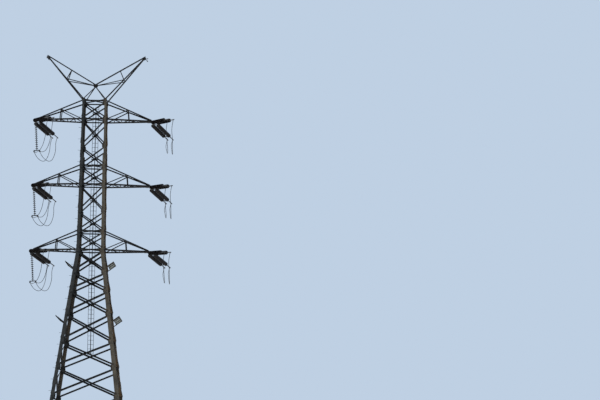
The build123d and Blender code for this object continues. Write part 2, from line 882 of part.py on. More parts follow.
# Side frames: arms out from the legs, rails and dark boards, with light boards between
for hand, side_x in hands.items():
    side = 1 if side_x == 1 else 3
    dark = []
    light = []
    for level, boards in zip(frame_levels, frame_boards):
        spread = half_width(level) - frame_inset
        reach = Vector(side_x * frame_reach, 0, frame_rise)
        along = Vector(0, -side_x, 0)
        top = along.cross(reach).normalized()
        place = Plane(origin=face_point(side, level, 0), x_dir=along, z_dir=top)
        half_run = spread + frame_overhang
        first = frame_start_share * reach.length
        last = reach.length
        for line in (first, last):
            dark.append(angle_bar(
                place.from_local_coords((-half_run, line, 0)),
                place.from_local_coords((half_run, line, 0)),
                top, frame_bar, bar_plate, 0, True))
        for across in (-spread, spread):
            dark.append(angle_bar(
                place.from_local_coords((across, -first, 0)),
                place.from_local_coords((across, last, 0)),
                top, frame_bar, bar_plate, 0, True))
        pitch = 2 * half_run / boards
        half_light = pitch * board_share / 2
        edges = [-half_run]
        for number in range(boards):
            middle = (number + 0.5) * pitch - half_run
            edges += [middle - half_light, middle + half_light]
        edges.append(half_run)
        for number, (start, end) in enumerate(zip(edges, edges[1:])):
            outline = [(start, first), (end, first), (end, last), (start, last)]
            if number % 2 == 0:
                dark.append(flat_plate(place, outline, -frame_plate))
            else:
                light.append(flat_plate(place, outline, frame_plate))
    with BuildPart() as side_frames:
        add(dark)
        split(bisect_by=face_plane(side, frame_levels[0]), keep=Keep.TOP)
    side_frames.part.label = f"side_frames_{hand}"
    export_step(side_frames.part, f"parts/side_frames_{hand}.step")
    with BuildPart() as side_boards:
        add(light)
    side_boards.part.label = f"side_boards_{hand}"
    export_step(side_boards.part, f"parts/side_boards_{hand}.step")

# Jumpers: points from the arm's tip, chosen along the hanging curve of each conductor
jumper_routes = {
    ("left", "outer"): [
        (1540.6, -3144.1, -496.5), (1468, -2971, -849), (1420, -2790, -1220), (1360, -2560, -1560),
        (1280, -2270, -1860), (1170, -1950, -2090), (1040, -1580, -2250), (910, -1200, -2340),
        (740, -830, -2390), (540, -470, -2350), (389, -115, -2238), (389, 115, -2238),
        (470, 490, -2450), (630, 850, -2620), (800, 1250, -2700), (940, 1660, -2680),
        (1080, 2030, -2520), (1160, 2360, -2240), (1230, 2610, -1890), (1240, 2820, -1510),
        (1196, 3007, -1125), (1263.2, 3214.8, -790.3),
    ],
    ("left", "inner"): [
        (1171.6, -3298.3, -496.5), (1099, -3125, -849), (1050, -2920, -1220), (990, -2670, -1570),
        (900, -2370, -1860), (780, -2040, -2100), (640, -1660, -2270), (490, -1270, -2370),
        (320, -880, -2420), (140, -490, -2400), (-10, -115, -2266), (-10, 115, -2266),
        (80, 470, -2480), (230, 850, -2650), (390, 1260, -2720), (540, 1680, -2680),
        (650, 2060, -2500), (730, 2400, -2230), (800, 2680, -1880), (820, 2910, -1510),
        (816, 3130, -1125), (882.4, 3337.3, -790.3),
    ],
    ("right", "outer"): [
        (1440.6, -3144.1, -496.5), (1368, -2971, -849), (1360, -2690, -1180), (1390, -2330, -1450),
        (1390, -1960, -1680), (1380, -1550, -1860), (1370, -1130, -2000), (1360, -690, -2090),
        (1350, -250, -2140), (1330, 190, -2160), (1320, 640, -2150), (1290, 1080, -2110),
        (1260, 1520, -2030), (1220, 1940, -1890), (1180, 2320, -1670), (1140, 2680, -1410),
        (1096, 3007, -1125), (1163.2, 3214.8, -790.3),
    ],
    ("right", "inner"): [
        (1071.6, -3298.3, -496.5), (999, -3125, -849), (980, -2830, -1190), (1020, -2460, -1450),
        (1020, -2050, -1670), (1020, -1620, -1840), (1030, -1180, -1950), (1020, -730, -2030),
        (1010, -270, -2070), (990, 190, -2090), (970, 640, -2080), (940, 1090, -2040),
        (900, 1540, -1970), (860, 1980, -1850), (820, 2390, -1650), (750, 2780, -1410),
        (716, 3130, -1125), (782.4, 3337.3, -790.3),
    ],
}
for (hand, place), route in jumper_routes.items():
    side_x = hands[hand]
    for arm_name, level in zip(arm_names, arm_levels):
        tip = Vector(side_x * arm_reach, 0, level)
        points = [tip + Vector(*step) for step in route]
        radii = corner_radii(points)
        with BuildPart() as jumper:
            with BuildLine() as path:
                FilletPolyline(*points, radius=radii)
            with BuildSketch(Plane(origin=points[0], z_dir=points[1] - points[0])):
                Circle(cord_diameter / 2)
            sweep()
        jumper.part.label = f"jumper_{hand}_{arm_name}_{place}"
        export_step(jumper.part, f"parts/{jumper.part.label}.step")
        run = sum(edge.length for edge in path.edges())
        print(
            jumper.part.label, "length", round(run), "radii", round(min(radii)),
            "to", round(max(radii)))
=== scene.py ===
import json
import math

import bpy
from mathutils import Matrix, Vector


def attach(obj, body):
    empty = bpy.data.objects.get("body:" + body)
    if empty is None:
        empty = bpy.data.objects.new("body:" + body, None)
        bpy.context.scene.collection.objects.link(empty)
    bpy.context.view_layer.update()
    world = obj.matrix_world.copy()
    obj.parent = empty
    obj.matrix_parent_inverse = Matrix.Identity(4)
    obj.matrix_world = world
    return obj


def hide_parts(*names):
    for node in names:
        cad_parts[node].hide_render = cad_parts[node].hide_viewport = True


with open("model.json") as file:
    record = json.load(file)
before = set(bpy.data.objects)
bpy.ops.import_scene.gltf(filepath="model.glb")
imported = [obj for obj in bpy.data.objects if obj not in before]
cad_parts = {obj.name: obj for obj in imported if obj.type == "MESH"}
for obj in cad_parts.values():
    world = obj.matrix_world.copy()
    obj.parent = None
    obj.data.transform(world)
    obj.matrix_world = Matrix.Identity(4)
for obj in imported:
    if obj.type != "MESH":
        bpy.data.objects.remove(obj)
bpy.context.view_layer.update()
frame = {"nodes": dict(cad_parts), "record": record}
scene = bpy.context.scene
scene.view_settings.view_transform = "Standard"


# Camera, as fitted to the photograph

def make_camera():
    data = bpy.data.cameras.new("camera")
    data.sensor_width = 36.0
    data.lens = 145.65
    data.clip_start = 1.0
    data.clip_end = 2000.0
    camera = bpy.data.objects.new("camera", data)
    scene.collection.objects.link(camera)
    heading = Matrix.Rotation(-0.0119, 4, "Z")
    pitch = Matrix.Rotation(math.pi / 2 + 0.1416, 4, "X")
    roll = Matrix.Rotation(0.0158, 4, "Z")
    place = Matrix.Translation((12.458, -167.586, 1.6))
    camera.matrix_world = place @ heading @ pitch @ roll
    scene.camera = camera


make_camera()


# Materials

def new_material(name, base, rough, metal, spec):
    mat = bpy.data.materials.new(name)
    mat.use_nodes = True
    tree = mat.node_tree
    shader = tree.nodes["Principled BSDF"]
    shader.inputs["Base Color"].default_value = (*base, 1.0)
    shader.inputs["Roughness"].default_value = rough
    shader.inputs["Metallic"].default_value = metal
    shader.inputs["Specular IOR Level"].default_value = spec
    return mat, tree, shader


def node(tree, kind, **values):
    made = tree.nodes.new(kind)
    for key, value in values.items():
        setattr(made, key, value)
    return made


def noise_at(tree, vector, scale, detail=6.0, rough=0.65):
    made = node(tree, "ShaderNodeTexNoise")
    made.inputs["Scale"].default_value = scale
    made.inputs["Detail"].default_value = detail
    made.inputs["Roughness"].default_value = rough
    tree.links.new(vector, made.inputs["Vector"])
    return made.outputs["Fac"]


def set_ramp(ramp, stops):
    elements = ramp.color_ramp.elements
    elements[0].position, elements[0].color = stops[0][0], (*stops[0][1], 1.0)
    elements[1].position, elements[1].color = stops[-1][0], (*stops[-1][1], 1.0)
    for position, colour in stops[1:-1]:
        element = elements.new(position)
        element.color = (*colour, 1.0)


stain_blend = 0.14
streak_fineness = 3.0
grain_fineness = 14


def mottled(name, stops, scale, rough=(0.5, 0.8), metal=0.0, bump=0.02, spec=0.5,
            stain=None, stain_from=0.56, runs=0.25):
    """A surface whose colour wanders between the stops, with a stain that runs down it."""
    mat, tree, shader = new_material(name, stops[0][1], rough[0], metal, spec)
    coords = node(tree, "ShaderNodeTexCoord").outputs["Object"]
    broad = noise_at(tree, coords, scale)
    ramp = node(tree, "ShaderNodeValToRGB")
    set_ramp(ramp, stops)
    tree.links.new(broad, ramp.inputs["Fac"])
    colour = ramp.outputs["Color"]
    if stain:
        mapping = node(tree, "ShaderNodeMapping")
        mapping.inputs["Scale"].default_value = (1.0, 1.0, runs)
        tree.links.new(coords, mapping.inputs["Vector"])
        streak = noise_at(tree, mapping.outputs["Vector"], scale * streak_fineness)
        mask = node(tree, "ShaderNodeMapRange")
        mask.inputs["From Min"].default_value = stain_from
        mask.inputs["From Max"].default_value = stain_from + stain_blend
        tree.links.new(streak, mask.inputs["Value"])
        mix = node(tree, "ShaderNodeMix", data_type="RGBA")
        tree.links.new(mask.outputs["Result"], mix.inputs["Factor"])
        tree.links.new(colour, mix.inputs["A"])
        mix.inputs["B"].default_value = (*stain, 1.0)
        colour = mix.outputs["Result"]
    tree.links.new(colour, shader.inputs["Base Color"])
    spread = node(tree, "ShaderNodeMapRange")
    spread.inputs["To Min"].default_value = rough[0]
    spread.inputs["To Max"].default_value = rough[1]
    tree.links.new(broad, spread.inputs["Value"])
    tree.links.new(spread.outputs["Result"], shader.inputs["Roughness"])
    grain = noise_at(tree, coords, scale * grain_fineness, 4.0, 0.5)
    lift = node(tree, "ShaderNodeBump")
    lift.inputs["Strength"].default_value = 0.5
    lift.inputs["Distance"].default_value = bump
    tree.links.new(grain, lift.inputs["Height"])
    tree.links.new(lift.outputs["Normal"], shader.inputs["Normal"])
    return mat


rust = (0.050, 0.030, 0.018)
materials = {
    "leg_steel": mottled(
        "leg_steel", [(0.3, (0.026, 0.028, 0.027)), (0.5, (0.043, 0.045, 0.043)),
                      (0.7, (0.066, 0.067, 0.062))], 3.0, spec=0.25, stain=rust, stain_from=0.60),
    "back_leg_steel": mottled(
        "back_leg_steel", [(0.3, (0.045, 0.038, 0.029)), (0.5, (0.072, 0.060, 0.045)),
                           (0.7, (0.110, 0.092, 0.066))], 3.0, spec=0.25,
        stain=(0.090, 0.055, 0.028), stain_from=0.54),
    "brace_steel": mottled(
        "brace_steel", [(0.3, (0.009, 0.010, 0.010)), (0.5, (0.016, 0.016, 0.015)),
                        (0.7, (0.030, 0.028, 0.024))], 4.0, spec=0.2, stain=rust,
        stain_from=0.62),
    "arm_steel": mottled(
        "arm_steel", [(0.3, (0.009, 0.010, 0.010)), (0.5, (0.017, 0.016, 0.015)),
                      (0.7, (0.032, 0.028, 0.024))], 4.0, spec=0.2, stain=rust,
        stain_from=0.62),
    "ladder_steel": mottled(
        "ladder_steel", [(0.35, (0.006, 0.007, 0.007)), (0.65, (0.015, 0.014, 0.013))], 5.0,
        spec=0.2, stain=rust, stain_from=0.62),
    "panel_steel": mottled(
        "panel_steel", [(0.35, (0.20, 0.24, 0.21)), (0.65, (0.34, 0.38, 0.34))], 2.0,
        stain=(0.12, 0.12, 0.09), stain_from=0.58),
    "concrete": mottled(
        "concrete", [(0.3, (0.30, 0.29, 0.26)), (0.6, (0.43, 0.41, 0.37))], 5.0,
        rough=(0.8, 0.95), stain=(0.20, 0.18, 0.15), stain_from=0.56),
    "insulator_glaze": mottled(
        "insulator_glaze", [(0.35, (0.006, 0.005, 0.005)), (0.65, (0.018, 0.012, 0.010))], 5.0,
        rough=(0.25, 0.42), bump=0.002, spec=0.35),
    "fitting_steel": mottled(
        "fitting_steel", [(0.35, (0.030, 0.031, 0.031)), (0.65, (0.070, 0.070, 0.068))], 12.0,
        rough=(0.45, 0.65), metal=0.3, bump=0.003, spec=0.3, stain=rust, stain_from=0.60,
        runs=1.0),
    "jumper_wire": mottled(
        "jumper_wire", [(0.35, (0.010, 0.011, 0.012)), (0.65, (0.026, 0.027, 0.029))], 12.0,
        rough=(0.5, 0.65), metal=0.3, bump=0.002, spec=0.3),
}


# Where the painted sunlight on the right-hand side begins: x with the legs' lean added, for each
# metre up to the waist
sunlit_waist = 21.66
sunlit_lean = 0.1339
sunlit_from = 3.42
sunlit_to = 3.60


def paint_sunlit_side(mat, tone):
    """Painted sunlight: warmer, lighter colour on the two right-hand legs and what lies between
    them.
    """
    tree = mat.node_tree
    shader = tree.nodes["Principled BSDF"]
    base = shader.inputs["Base Color"].links[0].from_socket
    coords = node(tree, "ShaderNodeTexCoord").outputs["Object"]
    parts = node(tree, "ShaderNodeSeparateXYZ")
    tree.links.new(coords, parts.inputs[0])
    splay = node(tree, "ShaderNodeMath", operation="MINIMUM")
    tree.links.new(parts.outputs["Z"], splay.inputs[0])
    splay.inputs[1].default_value = sunlit_waist
    level = node(tree, "ShaderNodeMath", operation="MULTIPLY_ADD")
    tree.links.new(splay.outputs[0], level.inputs[0])
    level.inputs[1].default_value = sunlit_lean
    tree.links.new(parts.outputs["X"], level.inputs[2])
    share = node(tree, "ShaderNodeMapRange")
    share.inputs["From Min"].default_value = sunlit_from
    share.inputs["From Max"].default_value = sunlit_to
    tree.links.new(level.outputs[0], share.inputs["Value"])
    mix = node(tree, "ShaderNodeMix", data_type="RGBA", blend_type="MULTIPLY")
    tree.links.new(share.outputs["Result"], mix.inputs["Factor"])
    tree.links.new(base, mix.inputs["A"])
    mix.inputs["B"].default_value = (*tone, 1.0)
    tree.links.new(mix.outputs["Result"], shader.inputs["Base Color"])


# Painted sunlight: the right-hand legs and braces are made warmer and lighter in colour
paint_sunlit_side(materials["leg_steel"], (2.5, 2.05, 1.55))
paint_sunlit_side(materials["back_leg_steel"], (2.1, 1.7, 1.2))
paint_sunlit_side(materials["brace_steel"], (3.6, 2.9, 2.2))
slots = {}
for part in frame["record"]["subparts"]:
    slots[part["node"]] = part["material_slot"]
    mesh = frame["nodes"][part["node"]].data
    mesh.materials.clear()
    mesh.materials.append(materials[part["material_slot"]])


# The CAD's driving sizes, in metres

base_width = 7.700
waist_width = 1.900
cage_top_width = 1.668
lower_flange = 0.250
middle_flange = 0.200
upper_flange = 0.140
foot_level = 0.400
foot_plate = 0.010
foot_plate_top = 0.410
splay_panels = [3.210, 3.000, 2.580, 2.280, 2.030, 1.780, 1.930, 1.590, 1.330, 1.534]
splay_levels = [foot_level + sum(splay_panels[:count]) for count in range(len(splay_panels) + 1)]
waist_level = splay_levels[-1]
arm_spacing = 4.588
arm_depth = 1.300
arm_levels = [waist_level + number * arm_spacing for number in range(3)]
cage_top = arm_levels[-1] + arm_depth
leg_top = cage_top + 0.150
belt_levels = [level for base in arm_levels for level in (base, base + arm_depth)]
middle_share = 0.43
cage_levels = []
for base in arm_levels:
    middle = base + arm_depth + (arm_spacing - arm_depth) * middle_share
    cage_levels += [base, base + arm_depth, middle]
cage_levels.pop()
upper_leg_start = arm_levels[1] + arm_depth + (arm_spacing - arm_depth) / 4
leg_plate = 0.020
bar_plate = 0.010
gusset_plate = 0.012
splice_plate = 0.012
bar_setback = 0.150
inner_bar_inset = 0.140
arm_reach = 4.160
lower_bar = 0.120
cage_bar = 0.090
lower_gusset_width = 0.340
lower_gusset_reach = 0.280
foot_gusset_reach = 0.550
cage_gusset_width = 0.250
cage_gusset_reach = 0.230
cage_top_reach = 0.130

# The scene's own sizes: bolts by their diameter, and how the bars are cut back

foot_bolt = 0.036
lower_bolt = 0.025
set_bolt = 0.024
cage_bolt = 0.021
small_bolt = 0.019
horn_bolt = 0.017
outer_cope = 0.9
outer_stand = 0.6
inner_cope = 0.120
packer_radius = 0.044
upward = Vector((0, 0, 1))


def half_width(height):
    if height <= waist_level:
        return (base_width + (waist_width - base_width) * height / waist_level) / 2
    share = (height - waist_level) / (cage_top - waist_level)
    return (waist_width + (cage_top_width - waist_width) * share) / 2


def leg_flange(height):
    if height < waist_level:
        return lower_flange
    return middle_flange if height < upper_leg_start else upper_flange


def outer_half(height):
    return half_width(height) - leg_flange(height) / 2


side_out = [Vector((0, -1, 0)), Vector((1, 0, 0)), Vector((0, 1, 0)), Vector((-1, 0, 0))]
side_along = [Vector((1, 0, 0)), Vector((0, 1, 0)), Vector((-1, 0, 0)), Vector((0, -1, 0))]


def face_point(side, height, across):
    point = side_out[side] * half_width(height) + side_along[side] * across
    return point + Vector((0, 0, height))


def face_normal(side, height):
    low, high = (foot_level, waist_level) if height < waist_level else (waist_level, cage_top)
    up = face_point(side, high, 0) - face_point(side, low, 0)
    return side_along[side].cross(up).normalized()


# Mesh building

class Piece:
    """Points and faces of one mesh."""

    def __init__(self):
        self.points = []
        self.faces = []

    def ring(self, centre, across, up, radius, sides, turn=0.0):
        start = len(self.points)
        for step in range(sides):
            angle = turn + 2 * math.pi * step / sides
            self.points.append(
                centre + across * (radius * math.cos(angle)) + up * (radius * math.sin(angle)))
        return range(start, start + sides)

    def join(self, low, high):
        count = len(low)
        for step in range(count):
            following = (step + 1) % count
            self.faces.append((low[step], low[following], high[following], high[step]))

    def turned(self, start, axis, profile, sides, turn=0.0):
        """A turned form: profile lists distances along the axis with radii."""
        axis = axis.normalized()
        across, up = axes_for(axis)
        rings = [self.ring(start + axis * along, across, up, radius, sides, turn)
                 for along, radius in profile]
        for low, high in zip(rings, rings[1:]):
            self.join(low, high)
        self.faces.append(tuple(reversed(rings[0])))
        self.faces.append(tuple(rings[-1]))

    def box(self, centre, along, across, up, size):
        start = len(self.points)
        half = [value / 2 for value in size]
        for z in (-1, 1):
            for x, y in ((-1, -1), (1, -1), (1, 1), (-1, 1)):
                self.points.append(
                    centre + along * (x * half[0]) + across * (y * half[1]) + up * (z * half[2]))
        order = 1 if along.cross(across).dot(up) > 0 else -1
        for face in ((3, 2, 1, 0), (4, 5, 6, 7), (0, 1, 5, 4), (1, 2, 6, 5), (2, 3, 7, 6),
                     (3, 0, 4, 7)):
            self.faces.append(tuple(start + corner for corner in face[::order]))

    def finish(self, name, slot, replaces=(), smooth=False):
        mesh = bpy.data.meshes.new(name)
        mesh.from_pydata([tuple(point) for point in self.points], [], self.faces)
        mesh.materials.append(materials[slot])
        if smooth:
            mesh.shade_smooth()
            mesh.set_sharp_from_angle(angle=math.radians(40))
        made = bpy.data.objects.new(name, mesh)
        scene.collection.objects.link(made)
        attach(made, "root")
        if replaces:
            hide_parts(*replaces)


def axes_for(axis):
    helper = Vector((0, 0, 1)) if abs(axis.z) < 0.9 else Vector((1, 0, 0))
    across = helper.cross(axis).normalized()
    return across, axis.cross(across)


def bolt(piece, seat, normal, grip, size):
    """A hexagon bolt: head and washer on the seat, nut and tail beyond the grip."""
    turn = seat.x * 7.0 + seat.z * 3.0
    piece.turned(seat, normal, [(0, size * 0.95), (size * 0.16, size * 0.95)], 10)
    piece.turned(seat, normal, [(size * 0.16, size * 0.83), (size * 0.68, size * 0.83),
                                (size * 0.76, size * 0.68)], 6, turn)
    back = seat - normal * grip
    piece.turned(back, -normal, [(0, size * 0.95), (size * 0.14, size * 0.83),
                                 (size * 0.86, size * 0.83), (size * 0.90, size * 0.45),
                                 (size * 1.25, size * 0.42)], 6, turn)


# Insulator strings: cap and pin discs in place of the solid strings

pulls = [((0.3855, -0.9227), 4.5), ((0.3061, 0.9520), 9.5)]
string_start = 0.330
disc_pitch = 0.170
disc_count = 14
half_twin = 0.200
clamp_start = string_start + disc_pitch * disc_count + 0.150
pilot_pitch = 0.146
pilot_count = 12
pilot_start = 0.245
pilot_lean = math.radians(4)
anchor_drop = 0.110
shed = [
    (0.066, 0.050), (0.072, 0.074), (0.080, 0.100), (0.092, 0.124), (0.104, 0.137),
    (0.113, 0.139), (0.117, 0.135), (0.111, 0.126), (0.108, 0.116), (0.121, 0.110),
    (0.121, 0.104), (0.106, 0.098), (0.104, 0.084), (0.122, 0.078), (0.122, 0.071),
    (0.106, 0.064), (0.106, 0.030),
]
cap = [
    (0.000, 0.026), (0.004, 0.038), (0.016, 0.047), (0.052, 0.052), (0.074, 0.058),
    (0.078, 0.050), (0.078, 0.020),
]
pin = [(0.100, 0.014), (0.158, 0.014), (0.162, 0.022), (0.170, 0.024)]
pilot_scale = (pilot_pitch / disc_pitch, 0.100 / 0.139)


def set_frame(side_x, level, azimuth, droop):
    """Anchor, pull, across and up of a strain set."""
    reach = Vector((*azimuth, 0)).normalized()
    across = Vector((-reach.y, reach.x, 0))
    lean = math.radians(droop)
    pull = reach * math.cos(lean) - Vector((0, 0, math.sin(lean)))
    side_y = 1 if azimuth[1] > 0 else -1
    anchor = Vector((side_x * (arm_reach - 0.050), side_y * 0.095, level - anchor_drop))
    return anchor, pull, across, pull.cross(across)


def string(sheds, caps, start, pull, pitch, count, scale):
    for number in range(count):
        place = start + pull * (pitch * number)
        for piece, profile, sides in ((sheds, shed, 20), (caps, cap, 14), (caps, pin, 8)):
            piece.turned(place, pull, [(along * scale[0], radius * scale[1])
                                       for along, radius in profile], sides)


arm_names = ["low", "middle", "top"]
hands = {"left": -1, "right": 1}
pilot_pull = Vector((math.sin(pilot_lean), 0, -math.cos(pilot_lean)))
for hand, side_x in hands.items():
    for arm_name, level in zip(arm_names, arm_levels):
        sheds = Piece()
        caps = Piece()
        for azimuth, droop in pulls:
            anchor, pull, across, up = set_frame(side_x, level, azimuth, droop)
            for way in (-half_twin, half_twin):
                string(sheds, caps, anchor + pull * string_start + across * way, pull,
                       disc_pitch, disc_count, (1.0, 1.0))
        if hand == "left":
            anchor = Vector((0.040 - arm_reach, 0, level - anchor_drop))
            string(sheds, caps, anchor + pilot_pull * pilot_start, pilot_pull,
                   pilot_pitch, pilot_count, pilot_scale)
        sheds.finish(f"sheds_{hand}_{arm_name}", "insulator_glaze",
                     [f"insulators_{hand}_{arm_name}"], smooth=True)
        caps.finish(f"caps_{hand}_{arm_name}", "fitting_steel", smooth=True)


# Bolts of the legs: splice covers and foot plates

corners = {"front_left": (-1, -1), "front_right": (1, -1),
           "back_right": (1, 1), "back_left": (-1, 1)}
splice_rows = 6
splice_pitch = 0.084
splice_half = 0.210
lower_columns = (0.065, 0.150)
upper_columns = (0.055,)
splices = [
    ((splay_levels[1] + splay_levels[2]) / 2, lower_columns),
    ((splay_levels[4] + splay_levels[5]) / 2, lower_columns),
    (upper_leg_start, upper_columns),
]
foot_centre = half_width(foot_level) - lower_flange / 3
foot_bolt_reach = 0.225
for name, (side_x, side_y) in corners.items():
    bolts = Piece()
    for centre, columns in splices:
        for row in range(splice_rows):
            height = centre - splice_half + row * splice_pitch
            wide = half_width(height)
            for column in columns:
                seat = Vector((side_x * (wide + splice_plate), side_y * (wide - column), height))
                bolt(bolts, seat, Vector((side_x, 0, 0)), splice_plate + leg_plate, lower_bolt)
                seat = Vector((side_x * (wide - column), side_y * (wide + splice_plate), height))
                bolt(bolts, seat, Vector((0, side_y, 0)), splice_plate + leg_plate, lower_bolt)
    for x, y in ((-1, -1), (-1, 1), (1, -1), (1, 1)):
        seat = Vector((side_x * foot_centre + x * foot_bolt_reach,
                       side_y * foot_centre + y * foot_bolt_reach, foot_level))
        bolt(bolts, seat, upward, foot_plate, foot_bolt)
        bolts.turned(seat, upward, [(0, 0.016), (0.075, 0.016)], 10)
    bolts.finish(f"leg_bolts_{name}", "fitting_steel")


# Steel of the four sides: bars with their outstanding flanges cut back at the ends, gussets,
# round packers at the crossings and the belts

def bar(piece, start, end, outward, width, lift=0.0, inner=False, heel=1, cope=0.0,
        stand=1.0, thick=bar_plate, trim=None):
    """An angle bar with snipped ends.

    cope is the length over which the outstanding flange is cut away, stand its share of the
    flat flange, and trim an axis with the level at which the start is cut off square to it.
    """
    way = -1 if inner else 1
    run = (end - start).normalized()
    length = (end - start).length
    x = (outward - run * outward.dot(run)).normalized()
    y = run.cross(x)
    edge = heel * width / 2
    full = width * stand
    low_flange = thick * 1.2 if cope else full
    snip = heel * width * 0.22
    stations = [(0.0, snip, low_flange), (width * 0.22, 0.0, low_flange)]
    if cope:
        stations += [(cope, 0.0, low_flange), (cope + width * 0.7, 0.0, full)]
    rings = []
    for along, cut, flange in stations + [(length - a, c, f) for a, c, f in reversed(stations)]:
        begin = len(piece.points)
        for out, side in ((lift, -edge + cut), (lift, edge), (lift + flange, edge),
                          (lift + flange, edge - heel * thick),
                          (lift + thick, edge - heel * thick),
                          (lift + thick, -edge + cut)):
            piece.points.append(start + run * along + x * (way * out) + y * side)
        rings.append(list(range(begin, begin + 6)))
    if trim:
        axis, level = trim
        for number in (*rings[0], *rings[1]):
            point = piece.points[number]
            short = (level - point[axis]) / run[axis] + (0.001 if number in rings[1] else 0.0)
            if number in rings[0] or short > 0:
                piece.points[number] = point + run * short
    flip = way * heel > 0
    for low, high in zip(rings, rings[1:]):
        for corner in range(6):
            following = (corner + 1) % 6
            quad = (low[corner], low[following], high[following], high[corner])
            piece.faces.append(tuple(reversed(quad)) if flip else quad)
    for ring, back in ((rings[0], True), (rings[-1], False)):
        for quad in ((ring[0], ring[1], ring[4], ring[5]), (ring[1], ring[2], ring[3], ring[4])):
            piece.faces.append(tuple(reversed(quad)) if back != flip else quad)


def seat_behind(side, normal):
    """How far the inner bars lie behind the outer ones."""
    return leg_plate * normal.dot(side_out[side]) + gusset_plate


def panel_lines(side, low, high):
    """The ends of a panel's outer and inner bar, and the level at which they cross."""
    low_end = low + bar_setback
    high_end = high - bar_setback
    wide = outer_half(low_end)
    narrow = outer_half(high_end)
    outer = (face_point(side, high_end, -narrow), face_point(side, low_end, wide))
    inner = (face_point(side, low_end, inner_bar_inset - half_width(low_end)),
             face_point(side, high_end, half_width(high_end) - inner_bar_inset))
    return outer, inner, high_end - (high_end - low_end) * narrow / (narrow + wide)


def panel_bars(piece, side, low, high, width):
    normal = face_normal(side, (low + high) / 2)
    seat = seat_behind(side, normal)
    outer, inner, crossing = panel_lines(side, low, high)
    bar(piece, *outer, normal, width, cope=leg_flange(high - bar_setback) * outer_cope,
        stand=outer_stand)
    bar(piece, *inner, normal, width, lift=seat, inner=True, cope=inner_cope)
    piece.turned(face_point(side, crossing, 0) - normal * seat, normal,
                 [(0, packer_radius), (seat, packer_radius)], 20)


def plate(piece, origin, across, up, normal, corners, thickness):
    """A flat plate: corners in its plane, standing up from it by its thickness."""
    begin = len(piece.points)
    count = len(corners)
    for rise in (0.0, thickness):
        for x, y in corners:
            piece.points.append(origin + across * x + up * y + normal * rise)
    area = sum(a[0] * b[1] - b[0] * a[1] for a, b in zip(corners, corners[1:] + corners[:1]))
    mirrored = across.cross(up).dot(normal) * area < 0
    below = tuple(range(begin, begin + count))
    above = tuple(range(begin + count, begin + 2 * count))
    faces = [tuple(reversed(below)), above]
    for corner in range(count):
        following = (corner + 1) % count
        faces.append((below[corner], below[following], above[following], above[corner]))
    piece.faces += [tuple(reversed(face)) for face in faces] if mirrored else faces


def gusset_pair(piece, side, height, width, above, below):
    normal = face_normal(side, height)
    seat = seat_behind(side, normal)
    corner_gap = leg_plate + gusset_plate + 0.005
    for way in (-1, 1):
        origin = face_point(side, height, way * half_width(height)) - normal * seat
        across = side_along[side] * -way
        up = normal.cross(side_along[side])
        lean = half_width(height) - half_width(height + above)
        corners = [(corner_gap + lean, above), (corner_gap, -below), (width * 0.7, -below),
                   (width, -below * 0.4), (width, above * 0.4), (width * 0.7, above)]
        if above == 0:
            corners = corners[:4] + [(width, 0.0)]
        if below == 0:
            corners = [corners[0], corners[1], (width, 0.0)] + corners[4:]
        plate(piece, origin, across, up, normal, corners, gusset_plate)


side_names = ["front", "right", "back", "left"]
lower_panels = [(max(low, foot_plate_top), high)
                for low, high in zip(splay_levels, splay_levels[1:])]
cage_panels = list(zip(cage_levels, cage_levels[1:]))
# Gussets: level, reach above it and reach below it
lower_gussets = [(level, 0 if level == waist_level else lower_gusset_reach, lower_gusset_reach)
                 for level in splay_levels[1:]]
cage_gussets = [(level, cage_top_reach if level == cage_top else cage_gusset_reach,
                 0 if level == waist_level else cage_gusset_reach) for level in cage_levels]
for side, side_name in enumerate(side_names):
    steel = Piece()
    for low, high in lower_panels:
        panel_bars(steel, side, low, high, lower_bar)
    for level, above, below in lower_gussets:
        gusset_pair(steel, side, level, lower_gusset_width, above, below)
    gusset_pair(steel, side, foot_plate_top, lower_gusset_width, foot_gusset_reach, 0)
    steel.finish(f"lower_steel_{side_name}", "brace_steel", [f"lower_face_{side_name}"])
    steel = Piece()
    for low, high in cage_panels:
        panel_bars(steel, side, low, high, cage_bar)
    for level, above, below in cage_gussets:
        gusset_pair(steel, side, level, cage_gusset_width, above, below)
    for level in belt_levels:
        reach = half_width(level) - inner_bar_inset
        bar(steel, face_point(side, level, reach), face_point(side, level, -reach),
            side_out[side], cage_bar, lift=leg_plate + gusset_plate, inner=True, heel=-1)
    steel.finish(f"cage_steel_{side_name}", "brace_steel", [f"cage_face_{side_name}"])


# Bolts of the crossed bracing, the gussets and the belts

head_margin = 0.015
lower_spots = (0.045, 0.115)
cage_spots = (0.035, 0.085)
belt_spots = (0.030, 0.085)
gusset_rows = ((0.0, 0.36), (0.09, 0.62), (0.18, 0.36))


def head_lift(height, inset):
    """Where a bolt head sits: on the leg, or behind it on the gusset."""
    return 0.0 if inset < leg_flange(height) - head_margin else -leg_plate


def bar_bolts(piece, side, start, end, normal, spots, size, outer):
    run = (end - start).normalized()
    seat = seat_behind(side, normal)
    for tip, way in ((start, run), (end, -run)):
        for spot in spots:
            place = tip + way * spot
            if outer:
                bolt(piece, place + normal * bar_plate, normal,
                     bar_plate + leg_plate + gusset_plate, size)
                continue
            inset = half_width(place.z) - abs(place.dot(side_along[side]))
            lift = head_lift(place.z, inset)
            bolt(piece, place + normal * lift, normal, seat + bar_plate + lift, size)


def panel_bolts(piece, side, low, high, spots, size):
    normal = face_normal(side, (low + high) / 2)
    outer, inner, crossing = panel_lines(side, low, high)
    bar_bolts(piece, side, *outer, normal, spots, size, True)
    bar_bolts(piece, side, *inner, normal, spots, size, False)
    bolt(piece, face_point(side, crossing, 0) + normal * bar_plate, normal,
         seat_behind(side, normal) + 2 * bar_plate, size)


